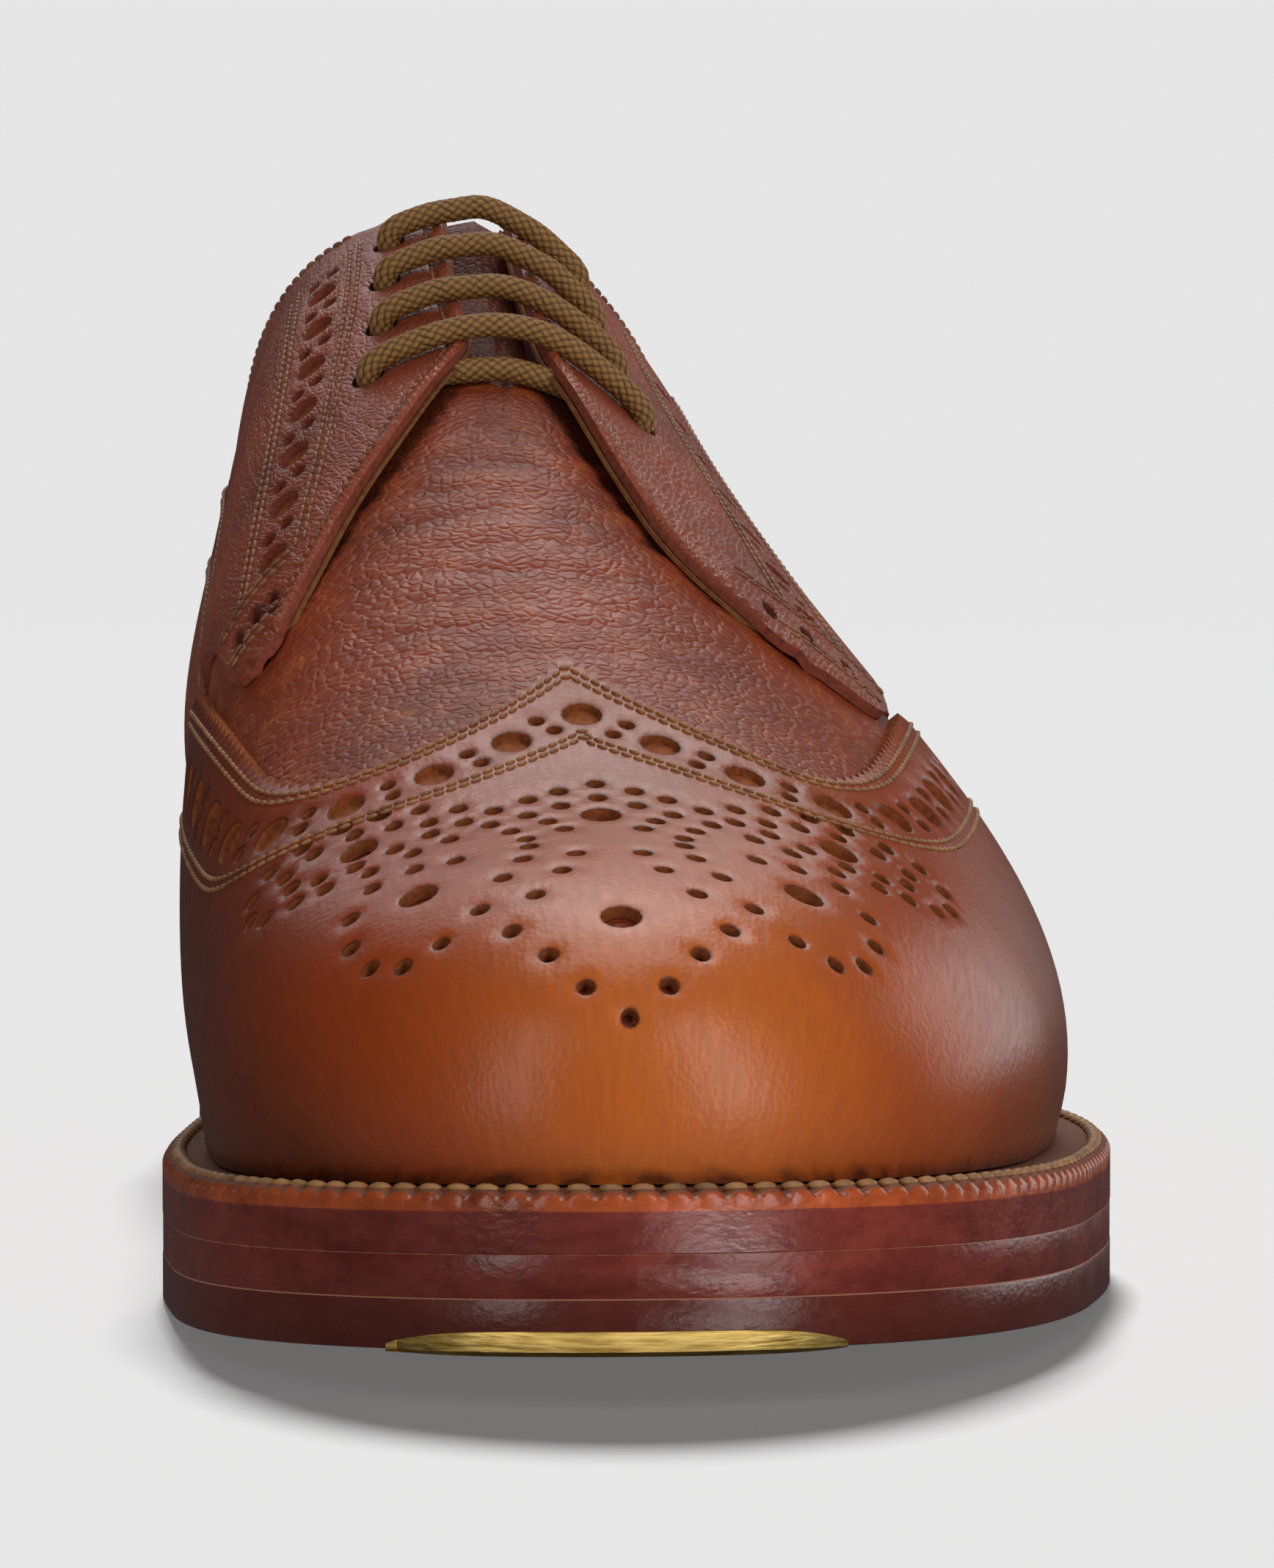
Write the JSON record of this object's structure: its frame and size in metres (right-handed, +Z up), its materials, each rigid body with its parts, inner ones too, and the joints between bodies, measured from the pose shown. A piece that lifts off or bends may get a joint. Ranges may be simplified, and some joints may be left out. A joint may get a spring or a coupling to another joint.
{
  "type": "full brogue derby shoe",
  "caption": "Left leather derby shoe with a brogued wing cap, open laced facings, a welted double leather sole and a brass toe plate.",
  "frame": {"origin": "centre of the bounding box, on the floor under the sole", "axes": "+Y along the shoe from toe to heel, +X to the lateral side, +Z up"},
  "size_m": [0.1115, 0.3061, 0.128],
  "materials": {
    "tan_leather": "polished",
    "brown_leather": "grained",
    "lining_leather": "matte",
    "sole_leather": "waxed",
    "heel_rubber": "matte",
    "brass": "brushed",
    "lace_cord": "woven"
  },
  "bodies": {
    "root": {"upper": "brown_leather", "wing_cap": "tan_leather", "quarter_medial": "brown_leather", "quarter_lateral": "brown_leather", "heel_counter": "brown_leather", "tongue": "brown_leather", "insole": "lining_leather", "welt": "tan_leather", "midsole": "sole_leather", "outsole": "sole_leather", "heel_stack": "sole_leather", "heel_top_piece": "heel_rubber", "toe_plate": "brass", "lace_bar_1": "lace_cord", "lace_bar_2": "lace_cord", "lace_bar_3": "lace_cord", "lace_bar_4": "lace_cord", "lace_under_bar": "lace_cord"}
  },
  "joints": []
}
